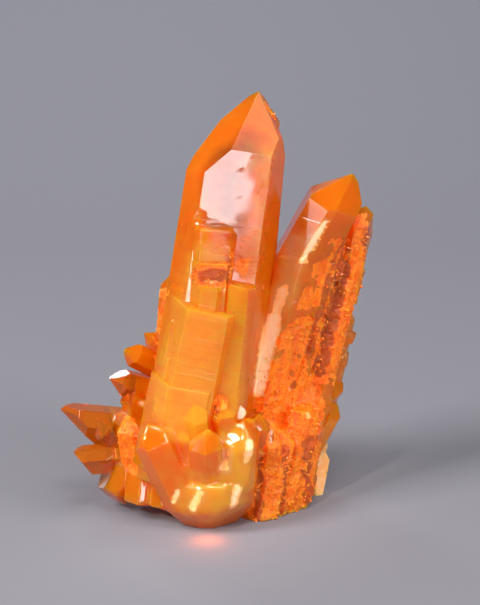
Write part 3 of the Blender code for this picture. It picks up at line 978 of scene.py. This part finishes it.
def cloud_group():
    """Clouds inside the stone, drawn out upwards as veils are, thicker where Milk says."""
    group, given, put = new_group(
        "milky_clouds",
        (("Place", "NodeSocketVector"), ("Milk", "NodeSocketFloat")),
        (("Cloud", "NodeSocketFloat"),),
    )
    stretch = new_node(group, "ShaderNodeMapping", Vector=given.outputs["Place"], Scale=CLOUD_STRETCH)
    warp = new_node(group, "ShaderNodeTexNoise", Vector=stretch.outputs[0], Scale=CLOUD_SCALE, Detail=4.0)
    warp.inputs["Distortion"].default_value = CLOUD_WARP
    cloud = maths(group, "SUBTRACT", warp.outputs[0], 0.5)
    amount_here = maths(group, "MULTIPLY_ADD", cloud, CLOUD_SPREAD, given.outputs["Milk"])
    group.links.new(stepped(group, amount_here, -0.1, 1.0), put.inputs["Cloud"])
    return group


milky_clouds = cloud_group()
print(milky_clouds.name, "has", len(milky_clouds.nodes), "nodes")

# %% [markdown]
# ## Iron flecks
# Iron oxide sits on the stone as specks, as dashes along the growth of the leaning crystals, and as
# a wide rusty tint. Each is a noise of its own size that only shows above a threshold, and the coat
# lowers the threshold, so the specks crowd together towards the crust.

# %% A node group for iron flecks
CRYSTAL_LEAN = 16  # degrees from upright, for the leaning crystals
DASH_STRETCH = 0.16


def fleck_group():
    """Specks and dashes of iron oxide: many where the coat is thick, a few elsewhere."""
    group, given, put = new_group(
        "iron_flecks",
        (("Place", "NodeSocketVector"), ("Coat", "NodeSocketFloat")),
        (("Fleck", "NodeSocketFloat"), ("Rust", "NodeSocketFloat")),
    )
    fine = noise_at(group, given.outputs["Place"], 1.1, 4.0, 0.7)
    wide = noise_at(group, given.outputs["Place"], 0.28, 3.0)
    more = maths(group, "MULTIPLY_ADD", given.outputs["Coat"], 0.2, maths(group, "MULTIPLY", wide, 0.22))
    speck = stepped(group, maths(group, "ADD", fine, more), 0.78, 0.9)
    along = drawn_out(group, given.outputs["Place"], CRYSTAL_LEAN, DASH_STRETCH)
    dash = stepped(group, noise_at(group, along, 0.9), 0.63, 0.72)
    dash = maths(group, "MULTIPLY", dash, stepped(group, given.outputs["Coat"], 0.02, 0.3))
    speck = maths(group, "MAXIMUM", speck, dash)
    rust = maths(group, "MULTIPLY_ADD", wide, 0.7, maths(group, "MULTIPLY", given.outputs["Coat"], 0.8))
    group.links.new(speck, put.inputs["Fleck"])
    group.links.new(stepped(group, rust, 0.40, 0.85), put.inputs["Rust"])
    return group


iron_flecks = fleck_group()
print(iron_flecks.name, "has", len(iron_flecks.nodes), "nodes")

# %% [markdown]
# ## Clear orange quartz
# Most of the stone is between clear and milky. Half of the light that goes in passes through as
# through glass, by Transmission, and the other half wanders under the surface, by Subsurface. Red
# wanders farthest, so thin parts and shaded sides glow. Volume Absorption takes blue and green out
# of the light that passes through, and more of it the thicker the stone is.

# %% Clear orange quartz
DEEP_ORANGE = (1.0, 0.22, 0.001, 1)
MILKY_ORANGE = (1.0, 0.41, 0.025, 1)
FROST_AND_SHEEN_PEACH = (0.99, 0.60, 0.28, 1)
RUST_ORANGE = (0.95, 0.21, 0.004, 1)
IRON_RED = (0.42, 0.065, 0.006, 1)
CLEAR_DEPTH = (0.20, 0.035, 0.001, 1)
STONE_ABSORBS_TO = (0.997, 0.80, 0.02, 1)
STONE_ABSORPTION = 420  # to a metre
QUARTZ_IOR = 1.54  # how strongly quartz bends light
HALF_CLEAR = 0.5
WANDERS = (1.0, 0.42, 0.05)  # how far red, green and blue wander, as shares of the scale
WANDER_SCALE = 12 * MM
RELIEF_DEPTH = 0.12 * MM


def stone_colour(tree, deep, milky):
    """The colour of the stone at each point, and the height of its fine relief."""
    place = place_in_mm(tree)
    bands = use_group(tree, growth_lines)
    clouds = use_group(tree, milky_clouds)
    flecks = use_group(tree, iron_flecks)
    for part in (bands, clouds, flecks):
        tree.links.new(place, part.inputs["Place"])
    coat = attribute(tree, "coat")
    tree.links.new(attribute(tree, "growth"), bands.inputs["Level"])
    tree.links.new(attribute(tree, "milk"), clouds.inputs["Milk"])
    tree.links.new(coat, flecks.inputs["Coat"])
    lined = attribute(tree, "lined")
    colour = mixed(tree, clouds.outputs["Cloud"], deep, milky)
    colour = mixed(tree, maths(tree, "MULTIPLY", attribute(tree, "clear"), 0.85), colour, CLEAR_DEPTH)
    colour = mixed(tree, maths(tree, "MULTIPLY", flecks.outputs["Rust"], 0.8), colour, RUST_ORANGE)
    band_tint = maths(tree, "MULTIPLY", lined, maths(tree, "MULTIPLY", bands.outputs["Height"], 0.3))
    colour = mixed(tree, band_tint, colour, milky)
    line = maths(tree, "MULTIPLY", maths(tree, "MULTIPLY", bands.outputs["Line"], lined), 0.45)
    colour = mixed(tree, line, colour, RUST_ORANGE)
    colour = mixed(tree, maths(tree, "MULTIPLY", flecks.outputs["Fleck"], 0.75), colour, IRON_RED)
    # pale peach over frosted stone, and painted highlight and sheen over the other pale places
    colour = mixed(tree, maths(tree, "MULTIPLY", attribute(tree, "frost_and_highlight"), 0.85), colour, FROST_AND_SHEEN_PEACH)
    colour = mixed(tree, maths(tree, "MULTIPLY", attribute(tree, "rust"), 0.8), colour, IRON_RED)
    etch = attribute(tree, "etch")
    grain = noise_at(tree, place, 0.9, 6.0, 0.7)
    relief = maths(tree, "MULTIPLY", maths(tree, "MULTIPLY", bands.outputs["Height"], lined), 0.5)
    relief = maths(tree, "MULTIPLY_ADD", maths(tree, "MULTIPLY", grain, etch), 0.8, relief)
    relief = maths(tree, "MULTIPLY_ADD", grain, 0.03, relief)
    return colour, relief, coat, etch


def quartz_material(name):
    material, tree, shader = new_material(name)
    colour, relief, coat, etch = stone_colour(tree, DEEP_ORANGE, MILKY_ORANGE)
    tree.links.new(colour, shader.inputs["Base Color"])
    dull = maths(tree, "MULTIPLY_ADD", coat, 0.25, maths(tree, "MULTIPLY_ADD", etch, 0.24, 0.04))
    tree.links.new(dull, shader.inputs["Roughness"])
    bumped(tree, shader, relief, RELIEF_DEPTH, 1.0)
    shader.inputs["IOR"].default_value = QUARTZ_IOR
    shader.inputs["Transmission Weight"].default_value = HALF_CLEAR
    wandering(shader, WANDERS, WANDER_SCALE)
    absorbing(tree, STONE_ABSORBS_TO, STONE_ABSORPTION)
    return material


quartz = quartz_material("clear_orange_quartz")
stone.data.materials.append(quartz)
print(quartz.name, "has", len(quartz.node_tree.nodes), "nodes")

# %% [markdown]
# ## Rough iron crust
# No light passes through the crust, so it has no Transmission. A little subsurface light still
# softens it, as light does in a skin of fine quartz. Its colour runs in patches from orange to red,
# drawn out along the crystals, and turns dark red in the grooves.

# %% Rough iron crust
CRUST_ORANGE = (0.95, 0.24, 0.004, 1)
CRUST_RED = (0.86, 0.15, 0.005, 1)
CRUST_ROUGHNESS = 0.38
CRUST_SHINE = 0.35
CRUST_GRAIN_DEPTH = 0.25 * MM
CRUST_WANDERS = (1.0, 0.3, 0.1)
CRUST_WANDER_SCALE = 6 * MM


def crust_material(name):
    """The coated stone: opaque, rough and red-orange, with dark specks, dashes and grooves."""
    material, tree, shader = new_material(name)
    place = place_in_mm(tree)
    flecks = use_group(tree, iron_flecks)
    tree.links.new(place, flecks.inputs["Place"])
    tree.links.new(attribute(tree, "coat"), flecks.inputs["Coat"])
    patches = stepped(tree, noise_at(tree, drawn_out(tree, place, 12, 0.25), 0.6, 4.0), 0.40, 0.68)
    colour = mixed(tree, patches, CRUST_ORANGE, CRUST_RED)
    colour = mixed(tree, maths(tree, "MULTIPLY", flecks.outputs["Fleck"], 0.45), colour, IRON_RED)
    streaks = noise_at(tree, drawn_out(tree, place, CRYSTAL_LEAN, 0.2), 1.0, 4.0)
    rusty = stepped(tree, maths(tree, "ADD", attribute(tree, "rust"), streaks), 0.68, 1.05)
    colour = mixed(tree, maths(tree, "MULTIPLY", rusty, 0.9), colour, IRON_RED)
    tree.links.new(colour, shader.inputs["Base Color"])
    grain = noise_at(tree, place, 1.8, 5.0, 0.7)
    bumped(tree, shader, grain, CRUST_GRAIN_DEPTH, 0.8)
    shader.inputs["Roughness"].default_value = CRUST_ROUGHNESS
    shader.inputs["Specular IOR Level"].default_value = CRUST_SHINE
    wandering(shader, CRUST_WANDERS, CRUST_WANDER_SCALE)
    return material


crust = crust_material("rough_iron_crust")
stone.data.materials.append(crust)
print(crust.name, "has", len(crust.node_tree.nodes), "nodes")

# %% [markdown]
# ## Frosted quartz and painted highlights
# The pale streaks on the leaning crystal and the pale facets of the lump are in part cracks and frosted
# skin that scatter nearly all light, and in part painted highlights, painted sheen and painted reflections
# of the lamps and the floor. White paint would look flat. A short subsurface scale lets light in a little
# way, and the colour runs from deep peach at the rim to pale in the middle.

# %% Frosted quartz and painted highlights
FROST_AND_HIGHLIGHT_PALE = (0.97, 0.64, 0.40, 1)
FROST_AND_HIGHLIGHT_DEEP = (0.97, 0.44, 0.13, 1)
FROST_ROUGHNESS = 0.22
FROST_GRAIN_DEPTH = 0.2 * MM
FROST_WANDERS = (1.0, 0.5, 0.25)
FROST_WANDER_SCALE = 2 * MM


def frost_and_highlight_material(name):
    """Faces pale as ground glass over orange stone: frosted faces that scatter all the light that meets
    them, and painted highlights and sheen.
    """
    material, tree, shader = new_material(name)
    drawn = new_node(tree, "ShaderNodeMapping", Vector=place_in_mm(tree), Scale=(1, 1, 0.5))
    streaks = noise_at(tree, drawn.outputs[0], 1.2, 4.0)
    pale = stepped(tree, maths(tree, "MULTIPLY_ADD", streaks, 0.9, attribute(tree, "frost_and_highlight")), 0.95, 1.5)
    tree.links.new(mixed(tree, pale, FROST_AND_HIGHLIGHT_DEEP, FROST_AND_HIGHLIGHT_PALE), shader.inputs["Base Color"])
    bumped(tree, shader, streaks, FROST_GRAIN_DEPTH, 0.7)
    shader.inputs["Roughness"].default_value = FROST_ROUGHNESS
    wandering(shader, FROST_WANDERS, FROST_WANDER_SCALE)
    return material


frosted_and_highlit = frost_and_highlight_material("frosted_and_highlit_quartz")
stone.data.materials.append(frosted_and_highlit)
print(frosted_and_highlit.name, "has", len(frosted_and_highlit.node_tree.nodes), "nodes")

# %% [markdown]
# ## Which face is which
# One closed mesh may hold several materials, a face at a time. A shader could mix glass, crust and frost
# by a mask instead, but glass in a mixed shader is lost when a model is exported. So each face takes the
# crust, or the frost with its painted highlights, from the mean of its corners, and is clear quartz
# otherwise.

# %% Give each face of the stone its material
COATED_FACE = 0.55  # a face with more coat than this is crust
FROST_AND_HIGHLIGHT_FACE = 0.5  # a face with more frost and painted highlight than this is frosted, also where it is coated
CLEAR_SLOT, CRUST_SLOT, FROST_AND_HIGHLIGHT_SLOT = range(3)


def face_mean(mesh, name):
    """The mean of an attribute over the corners of each face."""
    values = np.zeros(len(mesh.vertices), dtype=np.float32)
    mesh.attributes[name].data.foreach_get("value", values)
    return np.array([values[list(face.vertices)].mean() for face in mesh.polygons])


coated = face_mean(stone.data, "coat") > COATED_FACE
# faces pale with frost and with painted highlights take the frosted material
pale = face_mean(stone.data, "frost_and_highlight") > FROST_AND_HIGHLIGHT_FACE
slots = np.where(pale, FROST_AND_HIGHLIGHT_SLOT, np.where(coated, CRUST_SLOT, CLEAR_SLOT))
stone.data.polygons.foreach_set("material_index", slots.astype(np.int32))
print("faces of crust:", int(coated.sum()), "and of frosted quartz:", int(pale.sum()))

# %% [markdown]
# ## Small crystals of the crust
# The second step of the crust is the sparkle: thousands of quartz points stand out of the coated
# stone by less than a millimetre. Placing them by hand is out of the question, and a particle
# system gives no control over where they thin out. A Geometry Nodes tree scatters them instead.
# Its links and sums repeat, so they get short helpers first.

# %% Helpers for Geometry Nodes
def link(tree, source, target):
    tree.links.new(source, target)


def scaled_range(tree, source, low, high):
    """0 where the source is below low, 1 where it is above high."""
    made = tree.nodes.new("ShaderNodeMapRange")
    made.inputs[1].default_value = low
    made.inputs[2].default_value = high
    link(tree, source, made.inputs[0])
    return made.outputs[0]


def times(tree, first, second):
    made = tree.nodes.new("ShaderNodeMath")
    made.operation = "MULTIPLY"
    link(tree, first, made.inputs[0])
    link(tree, second, made.inputs[1])
    return made.outputs[0]


print("helpers for Geometry Nodes are ready")

# %% [markdown]
# ## A tree that scatters
# The tree makes one six-sided point from a cylinder and a cone, then sets a copy of it, turned and
# scaled by chance, on each of many spots. The spots are dense where the coat and a clumpy noise are
# both high.

# %% One small point and where the points stand
CLUMP_SCALE = 260  # clumps to a metre
POINT_SIDES = 6
POINT_RADIUS = 0.5
POINT_BODY = 1.4
POINT_END = 0.62
MOST_LEAN = 0.5  # radians from the normal of the face
WHOLE_TURN = 6.3


def small_point(tree):
    """A six-sided point, one unit across: its body is a cylinder and its end a cone."""
    body = tree.nodes.new("GeometryNodeMeshCylinder")
    body.inputs["Vertices"].default_value = POINT_SIDES
    body.inputs["Radius"].default_value = POINT_RADIUS
    body.inputs["Depth"].default_value = POINT_BODY
    end = tree.nodes.new("GeometryNodeMeshCone")
    end.inputs["Vertices"].default_value = POINT_SIDES
    end.inputs["Radius Bottom"].default_value = POINT_RADIUS
    end.inputs["Depth"].default_value = POINT_END
    raised = tree.nodes.new("GeometryNodeTransform")
    raised.inputs["Translation"].default_value = (0, 0, POINT_BODY / 2)
    link(tree, end.outputs["Mesh"], raised.inputs["Geometry"])
    whole = tree.nodes.new("GeometryNodeJoinGeometry")
    link(tree, body.outputs["Mesh"], whole.inputs[0])
    link(tree, raised.outputs["Geometry"], whole.inputs[0])
    return whole.outputs[0]


def crust_spots(tree, given):
    """Points on the coated faces, in clumps."""
    coat_here = tree.nodes.new("GeometryNodeInputNamedAttribute")
    coat_here.data_type = "FLOAT"
    coat_here.inputs["Name"].default_value = "coat"
    clumps = tree.nodes.new("ShaderNodeTexNoise")
    clumps.inputs["Scale"].default_value = CLUMP_SCALE
    crusted = scaled_range(tree, coat_here.outputs["Attribute"], 0.5, 0.9)
    clumped = scaled_range(tree, clumps.outputs[0], 0.45, 0.62)
    density = times(tree, times(tree, crusted, clumped), given.outputs["Density"])
    spots = tree.nodes.new("GeometryNodeDistributePointsOnFaces")
    link(tree, given.outputs["Geometry"], spots.inputs["Mesh"])
    link(tree, density, spots.inputs["Density"])
    link(tree, given.outputs["Seed"], spots.inputs["Seed"])
    return spots


def crust_tree(material):
    """Sets a small point on every spot, makes the copies real and gives them the material."""
    tree = bpy.data.node_groups.new("crust_crystals", "GeometryNodeTree")
    tree.interface.new_socket("Geometry", in_out="INPUT", socket_type="NodeSocketGeometry")
    for label, kind in (("Density", "NodeSocketFloat"), ("Smallest", "NodeSocketFloat"),
                        ("Largest", "NodeSocketFloat"), ("Seed", "NodeSocketInt")):
        tree.interface.new_socket(label, in_out="INPUT", socket_type=kind)
    tree.interface.new_socket("Geometry", in_out="OUTPUT", socket_type="NodeSocketGeometry")
    given = tree.nodes.new("NodeGroupInput")
    put = tree.nodes.new("NodeGroupOutput")
    spots = crust_spots(tree, given)
    lean = tree.nodes.new("FunctionNodeRandomValue")
    lean.data_type = "FLOAT_VECTOR"
    lean.inputs[0].default_value = (-MOST_LEAN, -MOST_LEAN, 0)
    lean.inputs[1].default_value = (MOST_LEAN, MOST_LEAN, WHOLE_TURN)
    turned = tree.nodes.new("FunctionNodeRotateRotation")
    turned.rotation_space = "LOCAL"
    link(tree, spots.outputs["Rotation"], turned.inputs["Rotation"])
    link(tree, lean.outputs[0], turned.inputs["Rotate By"])
    size = tree.nodes.new("FunctionNodeRandomValue")
    link(tree, given.outputs["Smallest"], size.inputs[2])
    link(tree, given.outputs["Largest"], size.inputs[3])
    copies = tree.nodes.new("GeometryNodeInstanceOnPoints")
    link(tree, spots.outputs["Points"], copies.inputs["Points"])
    link(tree, small_point(tree), copies.inputs["Instance"])
    link(tree, turned.outputs[0], copies.inputs["Rotation"])
    link(tree, size.outputs[1], copies.inputs["Scale"])
    real = tree.nodes.new("GeometryNodeRealizeInstances")
    link(tree, copies.outputs["Instances"], real.inputs["Geometry"])
    dressed = tree.nodes.new("GeometryNodeSetMaterial")
    dressed.inputs["Material"].default_value = material
    link(tree, real.outputs["Geometry"], dressed.inputs["Geometry"])
    link(tree, dressed.outputs["Geometry"], put.inputs[0])
    return tree


print("a small point is", POINT_BODY + POINT_END, "times as long as it is wide")

# %% [markdown]
# ## Growing the small crystals
# A modifier with this tree stands on an object that shares the stone's mesh. What the modifier
# makes is copied into a plain mesh and the modifier goes, so the piece is ordinary geometry. The
# points are so small that light has no room to wander in them, so they are opaque and shiny. No
# corner may lie outside the solid's own box, so both meshes are pulled back into it.

# %% Scatter the small crystals
CRUST_SEED = 5
CRUST_DENSITY = 0.9e6  # to a square metre
SMALLEST = 0.2 * MM
LARGEST = 0.62 * MM
BOX_MARGIN = 0.05 * MM
SPARKLE_ORANGE = (0.98, 0.33, 0.03, 1)
SPARKLE_RED = (0.88, 0.14, 0.008, 1)
SPARKLE_ROUGHNESS = 0.2


def grown_by(tree, base, name, **values):
    """Runs a Geometry Nodes tree on a mesh and keeps what it makes as a plain mesh."""
    holder = add(name, base)
    step = holder.modifiers.new("grow", "NODES")
    step.node_group = tree
    for item in tree.interface.items_tree:
        if item.in_out == "INPUT" and item.name in values:
            step[item.identifier] = values[item.name]
    solved = holder.evaluated_get(bpy.context.evaluated_depsgraph_get())
    mesh = bpy.data.meshes.new_from_object(solved)
    while mesh.materials[0] is None:
        mesh.materials.pop(index=0)  # an empty slot that the cylinder and the cone bring along
    holder.modifiers.remove(step)
    holder.data = mesh
    return holder


def kept_inside(mesh, box, margin):
    """Pulls corners back into a box, so that nothing sticks out of it."""
    low = np.array(box[0]) + margin
    high = np.array(box[1]) - margin
    places = np.clip(grid_of(corner.co for corner in mesh.vertices), low, high)
    mesh.vertices.foreach_set("co", places.ravel())
    mesh.update()


def sparkle_material(name):
    """Opaque quartz skinned with iron oxide."""
    material, tree, shader = new_material(name)
    patches = stepped(tree, noise_at(tree, place_in_mm(tree), 0.5, 4.0), 0.35, 0.68)
    tree.links.new(mixed(tree, patches, SPARKLE_ORANGE, SPARKLE_RED), shader.inputs["Base Color"])
    shader.inputs["Roughness"].default_value = SPARKLE_ROUGHNESS
    return material


sparkle = grown_by(
    crust_tree(sparkle_material("sparkling_iron_crust")), stone.data, "crust_crystals",
    Density=CRUST_DENSITY, Smallest=SMALLEST, Largest=LARGEST, Seed=CRUST_SEED,
)
kept_inside(stone.data, cad_box, 0.0)
kept_inside(sparkle.data, cad_box, BOX_MARGIN)
print("the small crystals have", len(sparkle.data.polygons), "faces")

# %% [markdown]
# ## Glass for the clear tips
# The ends of the spears are brown-orange glass. Colour in glass comes from its thickness, so most
# of it is Volume Absorption. Glass alone looked too pale in so thin an end, so a fifth of the light
# is given back by the surface instead, in a deeper orange.

# %% Clear brown-orange tips
CLEAR_ORANGE = (0.96, 0.32, 0.02, 1)
TIP_ABSORBS_TO = (0.985, 0.72, 0.05, 1)
TIP_ABSORPTION = 420  # to a metre
TIP_ROUGHNESS = 0.03
MOSTLY_CLEAR = 0.8


def clear_material(name):
    material, tree, shader = new_material(name)
    shader.inputs["Base Color"].default_value = CLEAR_ORANGE
    shader.inputs["Roughness"].default_value = TIP_ROUGHNESS
    shader.inputs["IOR"].default_value = QUARTZ_IOR
    shader.inputs["Transmission Weight"].default_value = MOSTLY_CLEAR
    absorbing(tree, TIP_ABSORBS_TO, TIP_ABSORPTION)
    return material


clear = clear_material("clear_tip_quartz")
tips = []
for name, end in tip_forms:
    tip_piece = named_mesh(end, name)
    tip_piece.data.materials.append(clear)
    tips.append(tip_piece)
print("clear tips:", ", ".join(tip_piece.name for tip_piece in tips))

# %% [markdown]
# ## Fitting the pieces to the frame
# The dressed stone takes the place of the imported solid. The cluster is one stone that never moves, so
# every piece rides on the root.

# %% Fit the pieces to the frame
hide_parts("quartz_cluster")
for piece in [stone, sparkle] + tips:
    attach(piece, "root")
print("pieces:", 2 + len(tips))
